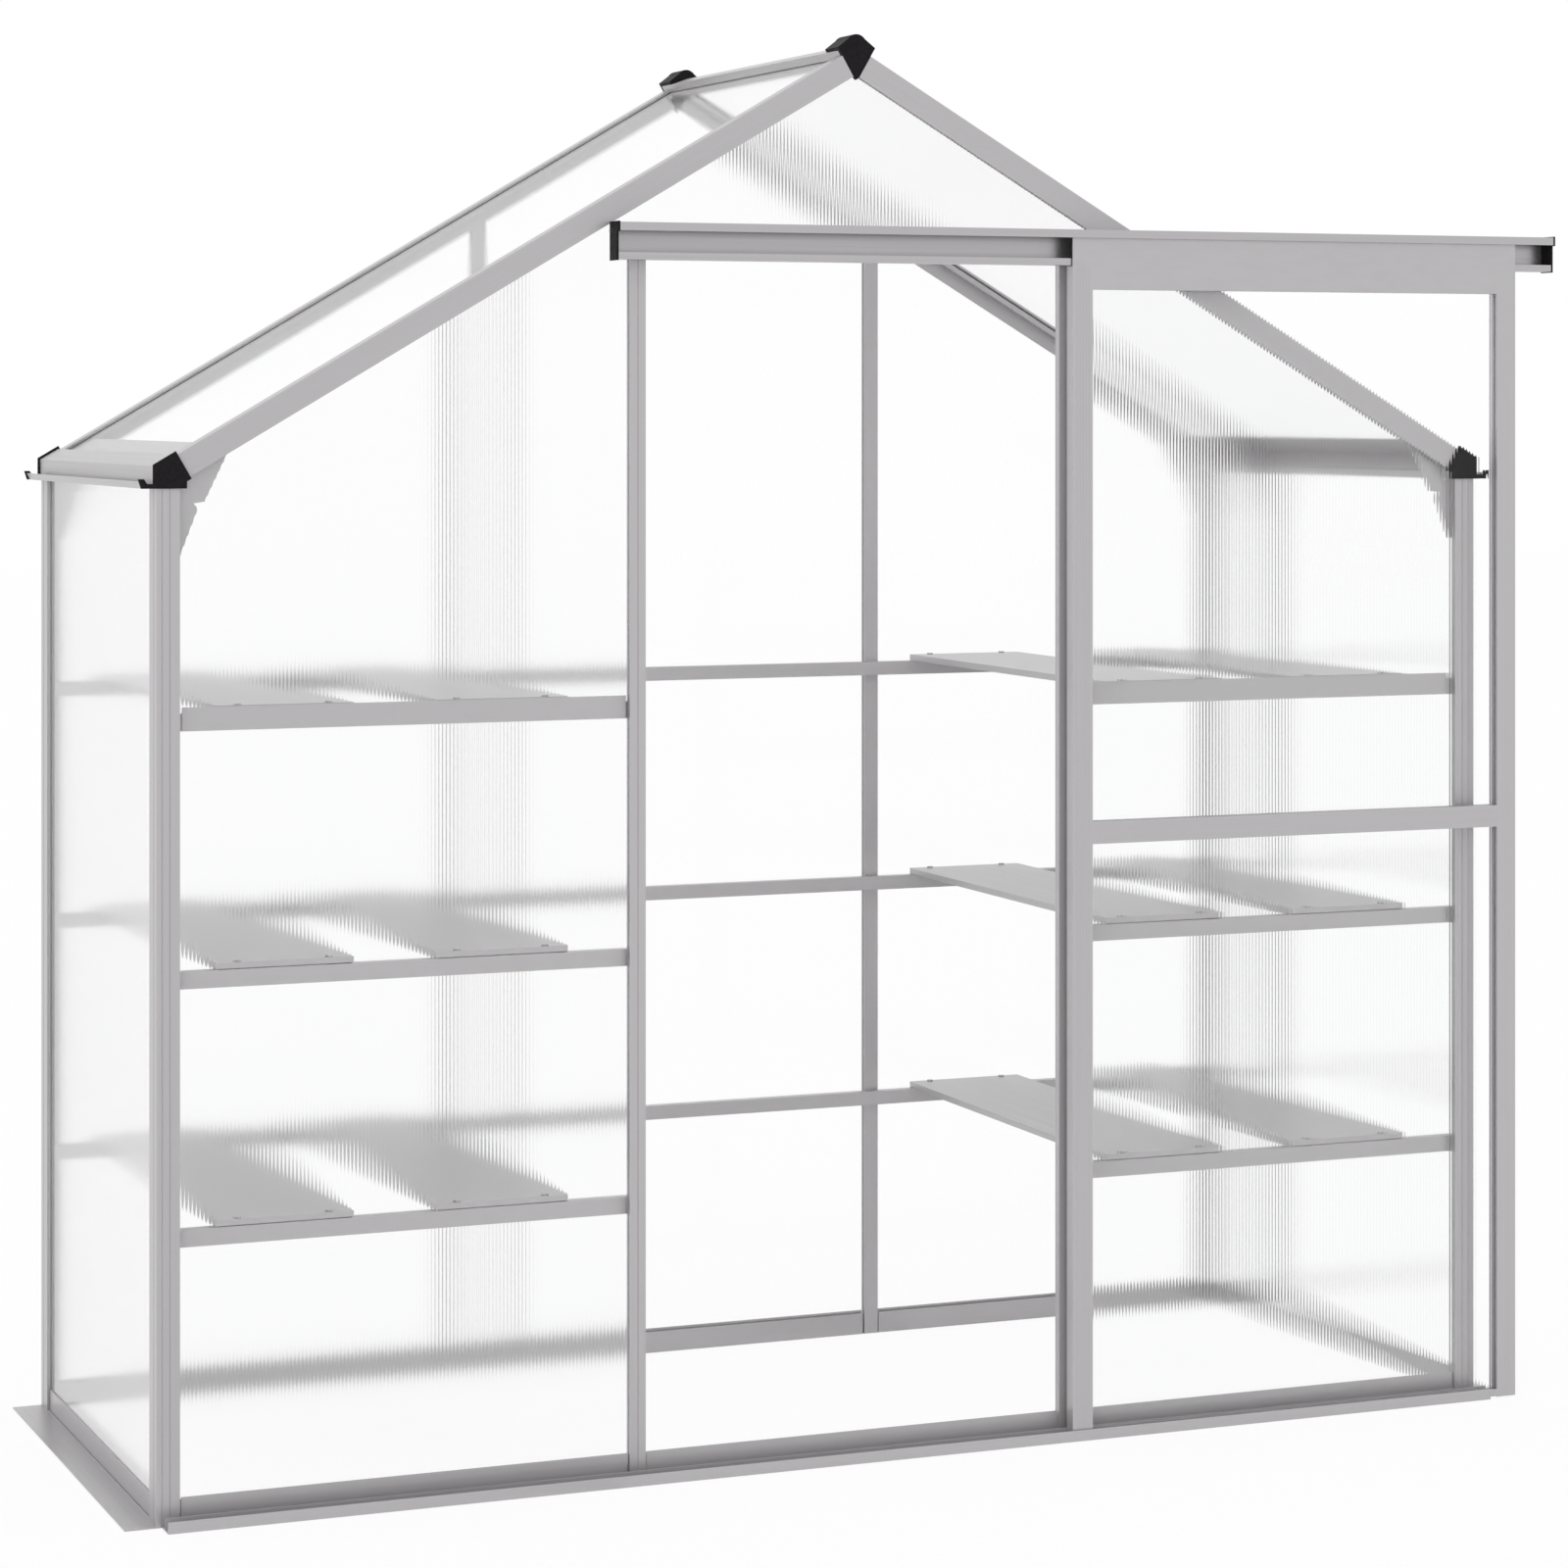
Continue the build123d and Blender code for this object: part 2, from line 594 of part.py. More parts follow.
top_rail = block(inner_left, inner_right, plate_far, door_far, rail_low, door_top)
top_rail -= rail_slot(rail_low - OVERCUT, rail_low + SLOT_DEEP)
top_rail -= rail_void(plate_far, rail_low + SLOT_DEEP + WALL, door_top - WALL)
add("door_top_rail", top_rail)

mid_top = MID_RAIL_Z + MID_RAIL
mid_rail = block(inner_left, inner_right, door_near, door_far, MID_RAIL_Z, mid_top)
mid_rail -= rail_slot(MID_RAIL_Z - OVERCUT, MID_RAIL_Z + SLOT_DEEP)
mid_rail -= rail_slot(mid_top - SLOT_DEEP, mid_top + OVERCUT)
mid_rail -= rail_void(door_near, MID_RAIL_Z + SLOT_DEEP + WALL, mid_top - SLOT_DEEP - WALL)
for low in line_starts(MID_RAIL_Z + MID_RAIL / 2, MID_RAIL_LINES, MID_RAIL_LINE_PITCH):
    mid_rail -= block(
        inner_left - OVERCUT, inner_right + OVERCUT, line_front, line_back, low, low + LINE_WIDE
    )
add("door_mid_rail", mid_rail)

bottom_top = BOTTOM_RAIL_BASE + BOTTOM_RAIL
bottom_seat = BOTTOM_RAIL_BASE + BOTTOM_RAIL_WEB
bottom_rail = block(
    inner_left, inner_right, door_near, -RIB_OUT - RIB_PLAY, BOTTOM_RAIL_BASE, bottom_top
)
bottom_rail -= rail_slot(bottom_seat, bottom_top + OVERCUT)
add("door_bottom_rail", bottom_rail)

# Door sheets and the nylon shoes that run along the guide rib
panel_near = slot_near + SLOT_PLAY
panel_far = panel_near + SHEET
panel_left = inner_left - SHEET_BITE
panel_right = inner_right + SHEET_BITE
lower_top = MID_RAIL_Z + SHEET_BITE
upper_low = mid_top - SLOT_DEEP + FIT
upper_top = rail_low + SHEET_BITE
add("door_lower_sheet", block(panel_left, panel_right, panel_near, panel_far, bottom_seat + FIT, lower_top))
add("door_upper_sheet", block(panel_left, panel_right, panel_near, panel_far, upper_low, upper_top))


def shoe(x0):
    x1 = x0 + STILE
    body = block(x0, x1, shoe_near, shoe_far, DOOR_FOOT, shoe_top)
    groove_near = shoe_near + SHOE
    groove_far = shoe_far - SHOE
    groove_low = DOOR_FOOT - OVERCUT
    return body - block(x0 - OVERCUT, x1 + OVERCUT, groove_near, groove_far, groove_low, shoe_top - SHOE)


add("door_shoes", shoe(door_left), shoe(inner_right))

# Rollers and their axles in the track
roller_z = TRACK_LOW + WALL + ROLL_GAP + ROLLER_R
roller_near = -ROLLER_FRONT
roller_far = roller_near + ROLLER_WIDE
axle_head = roller_far + AXLE_SIDE_GAP
shoulder_far = roller_near - AXLE_SIDE_GAP


def roller(x):
    wheel = rod(x, roller_z, ROLLER_R, roller_near, roller_far)
    dishes = [(roller_near - OVERCUT, roller_near + ROLLER_DISH)]
    dishes += [(roller_far - ROLLER_DISH, roller_far + OVERCUT)]
    for near, far in dishes:
        dish = rod(x, roller_z, ROLLER_R - ROLLER_RIM, near, far)
        wheel -= dish - rod(x, roller_z, ROLLER_HUB_R, near, far)
    return wheel - rod(x, roller_z, AXLE_R + AXLE_PLAY, roller_near - OVERCUT, roller_far + OVERCUT)


def axle(x):
    pin = rod(x, roller_z, AXLE_R, plate_far, axle_head)
    pin += rod(x, roller_z, AXLE_SHOULDER_R, shoulder_far - AXLE_SHOULDER, shoulder_far)
    return pin + rod(x, roller_z, AXLE_HEAD_R, axle_head, axle_head + AXLE_HEAD)


roller_left = door_left + ROLLER_INSET
roller_right = door_right - ROLLER_INSET
add("door_left_roller", roller(roller_left))
add("door_right_roller", roller(roller_right))
add("door_roller_axles", axle(roller_left), axle(roller_right))

# Shelf rails on the posts and jambs, and across the back
rail_far = RAIL_NEAR + FRONT_RAIL_DEEP
rail_left = -HALF + LEG + FIT
LEVELS = ("low", "mid", "high")


def tube(x0, x1, z0, z1):
    body = block(x0, x1, RAIL_NEAR, rail_far, z0, z1)
    return body - block(x0 - OVERCUT, x1 + OVERCUT, RAIL_NEAR + WALL, rail_far - WALL, z0 + WALL, z1 - WALL)


for level, top in zip(LEVELS, SHELF_TOPS):
    front_rail = tube(rail_left, -JAMB_X, top - FRONT_RAIL_TALL, top)
    add_pair("left_shelf_rail_" + level, "right_shelf_rail_" + level, front_rail)
back_rails = [tube(rail_left, -rail_left, top - BACK_RAIL_TALL, top) for top in SHELF_TOPS]
add("back_shelf_rails", *[flip_y(rail) for rail in back_rails])

strip_low = SHELF_TOPS[-1] - FRONT_RAIL_TALL
strip_left = -HALF + POST_FRONT + STRIP_GAP
strip_right = -JAMB_OUTER - EDGE_PLAY
strip = block(strip_left, strip_right, LEG - STRIP, LEG, strip_low, strip_low + STRIP_TALL)
add("shelf_edge_strips", strip, flip_x(strip))

# Shelf boards: pans folded down on all sides, their end flaps just clear of the rails
board_starts = [-HALF + LEFT_BOARD_INSET + step * BOARD_PITCH for step in range(2)]
board_starts += [JAMB_X + RIGHT_BOARD_INSET + step * BOARD_PITCH for step in range(2)]
flap_near = RAIL_NEAR + BOARD_SKIN
screw_near = RAIL_NEAR + FRONT_RAIL_DEEP / 2
screw_depths = (screw_near, WALL_DEPTH - screw_near)
screws = []
for level, top in zip(LEVELS, SHELF_TOPS):
    face = top + BOARD_TALL
    boards = []
    for start in board_starts:
        end = start + BOARD_WIDE
        left = start + BOARD_SKIN
        right = end - BOARD_SKIN
        board = block(start, end, RAIL_NEAR, WALL_DEPTH - RAIL_NEAR, top, face)
        board -= block(left, right, flap_near, WALL_DEPTH - flap_near, top - OVERCUT, face - BOARD_SKIN)
        board -= block(left, right, 0, WALL_DEPTH, top - OVERCUT, top + FLAP_GAP)
        for x in (start + SCREW_EDGE, end - SCREW_EDGE):
            for d in screw_depths:
                board -= upright(x, depth(d), SCREW_R + SCREW_PLAY, top, face + OVERCUT)
                shank = upright(x, depth(d), SCREW_R, top, face)
                screws.append(shank + upright(x, depth(d), SCREW_HEAD_R, face, face + SCREW_HEAD))
        boards.append(board)
    add("shelf_boards_" + level, *boards)
add("board_screws", *screws)

# Glazing sheets of the walls
sheet_left = -HALF + POST_FRONT - SHEET_BITE
sheet_top = -RAFTER_TALL + SHEET_BITE
jamb_edge = -JAMB_OUTER + JAMB_BITE
mullion_edge = JAMB_INNER + JAMB_BITE
eave_edge = roof(S_LOW, -BEAM_FACE)[0] + EDGE_PLAY
eave_stop = EAVE_HEIGHT - EDGE_PLAY
peak_z = tip_z - FIT
peak_half = (RIDGE_Z + sheet_top / cos(PITCH) - peak_z) / SLOPE


def wall_sheet(points):
    return along_y(points, SHEET_NEAR, SHEET_FAR)


eave_side = [(eave_edge, line_z(eave_edge, sheet_top)), (eave_edge, eave_stop), (sheet_left, eave_stop)]
foot_side = [(sheet_left, SHEET_BASE), (jamb_edge, SHEET_BASE)]
track_x = -TRACK_LEFT - EDGE_PLAY
under_rail = GABLE_RAIL_LOW - FIT
door_side = [(jamb_edge, under_rail), (track_x, under_rail), (track_x, line_z(track_x, sheet_top))]
add_pair("front_left_sheet", "front_right_sheet", wall_sheet(foot_side + door_side + eave_side))

mullion_side = [(jamb_edge, line_z(jamb_edge, sheet_top))]
add_pair("back_left_sheet", "back_right_sheet", flip_y(wall_sheet(foot_side + mullion_side + eave_side)))


def gable_points(half, low):
    shoulder_z = line_z(half, sheet_top)
    right = [(half, low), (half, shoulder_z), (peak_half, peak_z)]
    return right + [(-x, z) for x, z in reversed(right)]


add("front_gable_sheet", wall_sheet(gable_points(TRACK_LEFT, gable_seat + FIT)))
add("back_middle_sheet", flip_y(wall_sheet(gable_points(mullion_edge, SHEET_BASE))))

side_near = POST_SIDE - SHEET_BITE
side_far = WALL_DEPTH - side_near
side_top = EAVE_HEIGHT + SHEET_BITE
side_sheet = block(-HALF + SHEET_NEAR, -HALF + SHEET_FAR, side_near, side_far, SHEET_BASE, side_top)
add_pair("left_side_sheet", "right_side_sheet", side_sheet)

# Roof sheets from the ridge's slot to the eave's, between the rafters
roof_near = LEG + EDGE_PLAY
roof_far = WALL_DEPTH - roof_near
roof_sheet = slab(S_TOP - SHEET_BITE, S_LOW + SHEET_BITE, ROOF_LOW, ROOF_TOP, roof_near, roof_far)
add_pair("left_roof_sheet", "right_roof_sheet", roof_sheet)

# The origin lies on the ground under the middle of the whole outline
left_end = -HALF - FLANGE_OUT
right_end = max(TRACK_RIGHT + TRACK_CAP, -left_end)
placing = Pos(-(left_end + right_end) / 2, 0, 0)
os.makedirs("parts", exist_ok=True)
for name, solids in nodes.items():
    placed = [placing * solid for solid in solids]
    shape = placed[0] if len(placed) == 1 else Compound(children=placed)
    export_step(shape, "parts/" + name + ".step")
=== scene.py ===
import math

import bpy
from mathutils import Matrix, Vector


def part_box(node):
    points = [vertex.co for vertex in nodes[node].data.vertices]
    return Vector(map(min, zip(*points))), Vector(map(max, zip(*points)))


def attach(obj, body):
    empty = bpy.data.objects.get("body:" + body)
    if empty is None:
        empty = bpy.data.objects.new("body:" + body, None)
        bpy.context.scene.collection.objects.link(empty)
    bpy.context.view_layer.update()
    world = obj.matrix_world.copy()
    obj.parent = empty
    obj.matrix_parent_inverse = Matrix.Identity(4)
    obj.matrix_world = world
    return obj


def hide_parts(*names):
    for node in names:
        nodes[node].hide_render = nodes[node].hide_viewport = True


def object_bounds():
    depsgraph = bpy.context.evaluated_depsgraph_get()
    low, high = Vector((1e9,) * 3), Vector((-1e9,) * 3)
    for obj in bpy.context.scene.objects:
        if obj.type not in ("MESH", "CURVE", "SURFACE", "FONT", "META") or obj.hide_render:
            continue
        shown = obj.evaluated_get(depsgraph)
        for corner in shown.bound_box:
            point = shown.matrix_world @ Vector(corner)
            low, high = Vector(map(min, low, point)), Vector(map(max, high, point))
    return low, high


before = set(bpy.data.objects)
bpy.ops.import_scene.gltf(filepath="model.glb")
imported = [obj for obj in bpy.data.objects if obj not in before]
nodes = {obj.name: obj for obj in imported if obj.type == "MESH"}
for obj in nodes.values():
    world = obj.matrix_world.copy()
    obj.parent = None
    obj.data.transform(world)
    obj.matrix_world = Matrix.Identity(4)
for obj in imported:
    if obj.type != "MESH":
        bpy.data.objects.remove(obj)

cad_low, cad_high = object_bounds()

# Camera: the photograph's place, taken as 1600 by 1600 pixels
IMAGE_SIDE = 1600.0
HORIZON_ROW = 411.8
LENS = 96.14
CAMERA_PLACE = (-2.2072, -5.4918, 1.4054)
CAMERA_TURN = 21.874
SENSOR_WIDE = 36.0

# Finishes, in linear colour; smooth and rough are the two ends of a finish's roughness
ALUMINIUM_GREY = (0.498, 0.487, 0.497, 1.0)
ALUMINIUM_DARK = (0.484, 0.473, 0.483, 1.0)
ALUMINIUM_SMOOTH = 0.30
ALUMINIUM_ROUGH = 0.36
ALUMINIUM_METAL = 0.35
TRACK_METAL = 0.85
CAP_BLACK = (0.0110, 0.0095, 0.0110, 1.0)
CAP_WORN = (0.0180, 0.0165, 0.0180, 1.0)
CAP_SMOOTH = 0.42
CAP_ROUGH = 0.55
CAP_SHINE = 0.06
NYLON_WHITE = (0.78, 0.78, 0.74, 1.0)
NYLON_SHADE = (0.70, 0.70, 0.66, 1.0)
NYLON_SMOOTH = 0.4
NYLON_ROUGH = 0.5
ZINC_GREY = (0.52, 0.52, 0.53, 1.0)
ZINC_DARK = (0.43, 0.43, 0.44, 1.0)
ZINC_SMOOTH = 0.25
ZINC_ROUGH = 0.4
PLAIN_SHINE = 0.5
SHEET_CLEAR = (0.996, 0.997, 0.997, 1.0)
SHEET_WEB = (0.985, 0.988, 0.988, 1.0)
SIDE_WEB = (0.985, 0.985, 0.988, 1.0)
FLOOR_WHITE = (0.93, 0.93, 0.93, 1.0)

# Grain, as lines per metre along X, Y and Z
FINE_LINES = 420.0
LONG_LINES = 2.5
PLATE_GRAIN = (30.0, 90.0, 90.0)
CAP_GRAIN = (300.0, 300.0, 300.0)
NYLON_GRAIN = (90.0, 90.0, 90.0)
ZINC_GRAIN = (220.0, 220.0, 220.0)
GRAIN_DETAIL = 3.0
GRAIN_LOW = 0.3
GRAIN_HIGH = 0.7

# Ribs of the twin-wall sheets, lengths in metres; a swell is half the depth of the ribs
SHEET_THICK = 0.004
RIB_PITCH = 0.005
RIB_STEPS = 8
RIB_SWELL = 0.00036
BEHIND_DOOR_SWELL = 0.00006
SHALLOW_SWELL = 0.000013
WEB_START = 0.75

# Cuts through a sheet: hem at the ends of the ribs, sides on the ribbed face, margin at the edges
HEM = 0.0005
RIBBED_SIDES = (2, 3, 4)
EDGE_MARGIN = 1e-6

# Rounds in which the pitch of the roof is found
PITCH_ROUNDS = 8

# How the sheets bend and blur what stands behind them
WALL_IOR = 1.20
SIDE_IOR = 1.50
ROOF_IOR = 1.02
FRONT_HAZE = 0.19
DOOR_BACK_HAZE = 0.10
BEHIND_DOOR_HAZE = 0.06
SIDE_HAZE = 0.08
ROOF_HAZE = 0.04
ROOF_CLEAR = 0.92

# Light and floor
SKY_WHITE = (1.0, 1.0, 1.0, 1.0)
WORLD_LIGHT = 1.0
FLOOR_GLOW = 0.92
FLOOR_SIZE = 60.0
FLOOR_GAP = 0.0005

# Words in a piece's name that tell which way it was drawn
LEVEL_WORDS = ("sill", "strip", "_rail")
DEEP_WORDS = ("base_rail", "eave_beam", "ridge_beam", "shelf_boards")
PLATE_WORDS = ("gusset", "hanger_plate")

# Directions of the frame
RIGHT = Vector((1.0, 0.0, 0.0))
BACK = Vector((0.0, 1.0, 0.0))
UP = Vector((0.0, 0.0, 1.0))


def add_socket(group, name, direction, kind):
    return group.interface.new_socket(name=name, in_out=direction, socket_type=kind)


def build_drawn_grain():
    """Fine lines drawn along an extrusion, as a colour and a roughness."""
    group = bpy.data.node_groups.new("drawn_grain", "ShaderNodeTree")
    add_socket(group, "Light Colour", "INPUT", "NodeSocketColor")
    add_socket(group, "Dark Colour", "INPUT", "NodeSocketColor")
    add_socket(group, "Line Scale", "INPUT", "NodeSocketVector")
    add_socket(group, "Turn", "INPUT", "NodeSocketFloat")
    add_socket(group, "Smooth", "INPUT", "NodeSocketFloat")
    add_socket(group, "Rough", "INPUT", "NodeSocketFloat")
    add_socket(group, "Colour", "OUTPUT", "NodeSocketColor")
    add_socket(group, "Roughness", "OUTPUT", "NodeSocketFloat")
    source = group.nodes.new("NodeGroupInput")
    sink = group.nodes.new("NodeGroupOutput")
    place = group.nodes.new("ShaderNodeTexCoord")
    level = group.nodes.new("ShaderNodeVectorRotate")
    level.rotation_type = "Y_AXIS"
    stretch = group.nodes.new("ShaderNodeMapping")
    noise = group.nodes.new("ShaderNodeTexNoise")
    noise.inputs["Scale"].default_value = 1.0
    noise.inputs["Detail"].default_value = GRAIN_DETAIL
    spread = group.nodes.new("ShaderNodeMapRange")
    spread.inputs["From Min"].default_value = GRAIN_LOW
    spread.inputs["From Max"].default_value = GRAIN_HIGH
    blend = group.nodes.new("ShaderNodeMix")
    blend.data_type = "RGBA"
    rough = group.nodes.new("ShaderNodeMapRange")
    link = group.links.new
    link(place.outputs["Object"], level.inputs["Vector"])
    link(source.outputs["Turn"], level.inputs["Angle"])
    link(level.outputs["Vector"], stretch.inputs["Vector"])
    link(source.outputs["Line Scale"], stretch.inputs["Scale"])
    link(stretch.outputs["Vector"], noise.inputs["Vector"])
    link(noise.outputs["Fac"], spread.inputs["Value"])
    link(spread.outputs["Result"], blend.inputs["Factor"])
    link(source.outputs["Light Colour"], blend.inputs["A"])
    link(source.outputs["Dark Colour"], blend.inputs["B"])
    link(spread.outputs["Result"], rough.inputs["Value"])
    link(source.outputs["Smooth"], rough.inputs["To Min"])
    link(source.outputs["Rough"], rough.inputs["To Max"])
    link(blend.outputs["Result"], sink.inputs["Colour"])
    link(rough.outputs["Result"], sink.inputs["Roughness"])
    return group


DRAWN_GRAIN = build_drawn_grain()


def grained(name, light, dark, line_scale, smooth, rough, metallic, specular=PLAIN_SHINE, turn=0.0):
    """A finish whose colour and roughness follow the drawn grain."""
    material = bpy.data.materials.new(name)
    material.use_nodes = True
    tree = material.node_tree
    shader = tree.nodes["Principled BSDF"]
    grain = tree.nodes.new("ShaderNodeGroup")
    grain.node_tree = DRAWN_GRAIN
    grain.inputs["Light Colour"].default_value = light
    grain.inputs["Dark Colour"].default_value = dark
    grain.inputs["Line Scale"].default_value = line_scale
    grain.inputs["Turn"].default_value = turn
    grain.inputs["Smooth"].default_value = smooth
    grain.inputs["Rough"].default_value = rough
    tree.links.new(grain.outputs["Colour"], shader.inputs["Base Color"])
    tree.links.new(grain.outputs["Roughness"], shader.inputs["Roughness"])
    shader.inputs["Metallic"].default_value = metallic
    shader.inputs["Specular IOR Level"].default_value = specular
    return material


def roof_axes(node, side):
    """The direction up the slope and the outward normal of a roof sheet.

    The sheet's box holds its thickness as well as its length, so the pitch is found in a few rounds.
    """
    low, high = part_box(node)
    run = high.x - low.x
    rise = high.z - low.z
    pitch = math.atan2(rise, run)
    for _ in range(PITCH_ROUNDS):
        length = (run - SHEET_THICK * math.sin(pitch)) / math.cos(pitch)
        pitch = math.asin((rise - SHEET_THICK * math.cos(pitch)) / length)
    slope = Vector((-side * math.cos(pitch), 0.0, math.sin(pitch)))
    normal = Vector((side * math.sin(pitch), 0.0, math.cos(pitch)))
    return slope, normal


def aluminium(name, line_scale, metallic=ALUMINIUM_METAL, turn=0.0):
    """Mill aluminium with its grain along the way the piece was drawn."""
    finish = (ALUMINIUM_SMOOTH, ALUMINIUM_ROUGH, metallic)
    return grained(name, ALUMINIUM_GREY, ALUMINIUM_DARK, line_scale, *finish, turn=turn)


ALONG_X = (LONG_LINES, FINE_LINES, FINE_LINES)
ALONG_Y = (FINE_LINES, LONG_LINES, FINE_LINES)
ALONG_Z = (FINE_LINES, FINE_LINES, LONG_LINES)
ROOF_TURN = math.asin(roof_axes("left_roof_sheet", -1.0)[0].z)
ALUMINIUM_UPRIGHT = aluminium("aluminium_upright", ALONG_Z)
ALUMINIUM_LEVEL = aluminium("aluminium_level", ALONG_X)
ALUMINIUM_RISING = aluminium("aluminium_rising", ALONG_X, turn=ROOF_TURN)
ALUMINIUM_FALLING = aluminium("aluminium_falling", ALONG_X, turn=-ROOF_TURN)
ALUMINIUM_DEEP = aluminium("aluminium_deep", ALONG_Y)
ALUMINIUM_PLATE = aluminium("aluminium_plate", PLATE_GRAIN)
ALUMINIUM_TRACK = aluminium("aluminium_track", ALONG_X, TRACK_METAL)
BLACK_PLASTIC = grained(
    "black_plastic", CAP_BLACK, CAP_WORN, CAP_GRAIN, CAP_SMOOTH, CAP_ROUGH, 0.0, CAP_SHINE
)
NYLON = grained("nylon", NYLON_WHITE, NYLON_SHADE, NYLON_GRAIN, NYLON_SMOOTH, NYLON_ROUGH, 0.0)
ZINC_STEEL = grained("zinc_steel", ZINC_GREY, ZINC_DARK, ZINC_GRAIN, ZINC_SMOOTH, ZINC_ROUGH, 1.0)


def build_sheet_webs():
    """Faint lines where a sheet's inner webs run, as a colour."""
    group = bpy.data.node_groups.new("sheet_webs", "ShaderNodeTree")
    add_socket(group, "Clear Colour", "INPUT", "NodeSocketColor")
    add_socket(group, "Web Colour", "INPUT", "NodeSocketColor")
    add_socket(group, "Across", "INPUT", "NodeSocketVector")
    add_socket(group, "Colour", "OUTPUT", "NodeSocketColor")
    source = group.nodes.new("NodeGroupInput")
    sink = group.nodes.new("NodeGroupOutput")
    place = group.nodes.new("ShaderNodeTexCoord")
    reach = group.nodes.new("ShaderNodeVectorMath")
    reach.operation = "DOT_PRODUCT"
    turns = group.nodes.new("ShaderNodeMath")
    turns.operation = "MULTIPLY"
    turns.inputs[1].default_value = 2.0 * math.pi / RIB_PITCH
    wave = group.nodes.new("ShaderNodeMath")
    wave.operation = "COSINE"
    web = group.nodes.new("ShaderNodeMapRange")
    web.inputs["From Min"].default_value = WEB_START
    web.inputs["From Max"].default_value = 1.0
    tint = group.nodes.new("ShaderNodeMix")
    tint.data_type = "RGBA"
    link = group.links.new
    link(place.outputs["Object"], reach.inputs[0])
    link(source.outputs["Across"], reach.inputs[1])
    link(reach.outputs["Value"], turns.inputs[0])
    link(turns.outputs["Value"], wave.inputs[0])
    link(wave.outputs["Value"], web.inputs["Value"])
    link(web.outputs["Result"], tint.inputs["Factor"])
    link(source.outputs["Clear Colour"], tint.inputs["A"])
    link(source.outputs["Web Colour"], tint.inputs["B"])
    link(tint.outputs["Result"], sink.inputs["Colour"])
    return group


SHEET_WEBS = build_sheet_webs()


def clear_sheet(name, ior, haze, clear_share=1.0):
    """Clear sheet that lets shadow and diffuse rays pass straight through."""
    material = bpy.data.materials.new(name)
    material.use_nodes = True
    tree = material.node_tree
    shader = tree.nodes["Principled BSDF"]
    shader.inputs["Base Color"].default_value = SHEET_CLEAR
    shader.inputs["Metallic"].default_value = 0.0
    shader.inputs["Transmission Weight"].default_value = clear_share
    shader.inputs["IOR"].default_value = ior
    shader.inputs["Roughness"].default_value = haze
    rays = tree.nodes.new("ShaderNodeLightPath")
    either = tree.nodes.new("ShaderNodeMath")
    either.operation = "MAXIMUM"
    clear = tree.nodes.new("ShaderNodeBsdfTransparent")
    mixed = tree.nodes.new("ShaderNodeMixShader")
    link = tree.links.new
    link(rays.outputs["Is Shadow Ray"], either.inputs[0])
    link(rays.outputs["Is Diffuse Ray"], either.inputs[1])
    link(either.outputs["Value"], mixed.inputs["Fac"])
    link(shader.outputs["BSDF"], mixed.inputs[1])
    link(clear.outputs["BSDF"], mixed.inputs[2])
    link(mixed.outputs["Shader"], tree.nodes["Material Output"].inputs["Surface"])
    return material


def twin_wall(name, across, ior, haze, web_colour, clear_share=1.0):
    """Clear sheet whose inner webs show as faint lines."""
    material = clear_sheet(name, ior, haze, clear_share)
    tree = material.node_tree
    webs = tree.nodes.new("ShaderNodeGroup")
    webs.node_tree = SHEET_WEBS
    webs.inputs["Clear Colour"].default_value = SHEET_CLEAR
    webs.inputs["Web Colour"].default_value = web_colour
    webs.inputs["Across"].default_value = across
    tree.links.new(webs.outputs["Colour"], tree.nodes["Principled BSDF"].inputs["Base Color"])
    return material


SHEET_FRONT = twin_wall("twin_wall_front", RIGHT, WALL_IOR, FRONT_HAZE, SHEET_WEB)
SHEET_DOOR_BACK = twin_wall("twin_wall_door_back", RIGHT, WALL_IOR, DOOR_BACK_HAZE, SHEET_WEB)
SHEET_BEHIND_DOOR = clear_sheet("twin_wall_behind_door", WALL_IOR, BEHIND_DOOR_HAZE)
SHEET_SIDE = twin_wall("twin_wall_side", BACK, SIDE_IOR, SIDE_HAZE, SIDE_WEB)
SHEET_ROOF = twin_wall("twin_wall_roof", BACK, ROOF_IOR, ROOF_HAZE, SHEET_WEB, ROOF_CLEAR)


def wear(name, material):
    """Put one finish on a solid."""
    mesh = nodes[name].data
    mesh.materials.clear()
    mesh.materials.append(material)


# Each solid gets the finish of its piece; those of the sheets are replaced further down
for name in nodes:
    if name.endswith("_caps"):
        wear(name, BLACK_PLASTIC)
    elif name.endswith("roller") or name == "door_shoes":
        wear(name, NYLON)
    elif name.endswith(("screws", "bolts", "axles")):
        wear(name, ZINC_STEEL)
    elif name.endswith("left_rafter"):
        wear(name, ALUMINIUM_RISING)
    elif name.endswith("right_rafter"):
        wear(name, ALUMINIUM_FALLING)
    elif name == "door_track":
        wear(name, ALUMINIUM_TRACK)
    elif any(word in name for word in DEEP_WORDS):
        wear(name, ALUMINIUM_DEEP)
    elif any(word in name for word in PLATE_WORDS):
        wear(name, ALUMINIUM_PLATE)
    elif any(word in name for word in LEVEL_WORDS):
        wear(name, ALUMINIUM_LEVEL)
    else:
        wear(name, ALUMINIUM_UPRIGHT)


def outline_edges(node, across, along):
    """The sheet's solid seen face on, as pairs of points (across, along)."""
    mesh = nodes[node].data
    flat = [(vertex.co.dot(across), vertex.co.dot(along)) for vertex in mesh.vertices]
    return [(flat[edge.vertices[0]], flat[edge.vertices[1]]) for edge in mesh.edges]


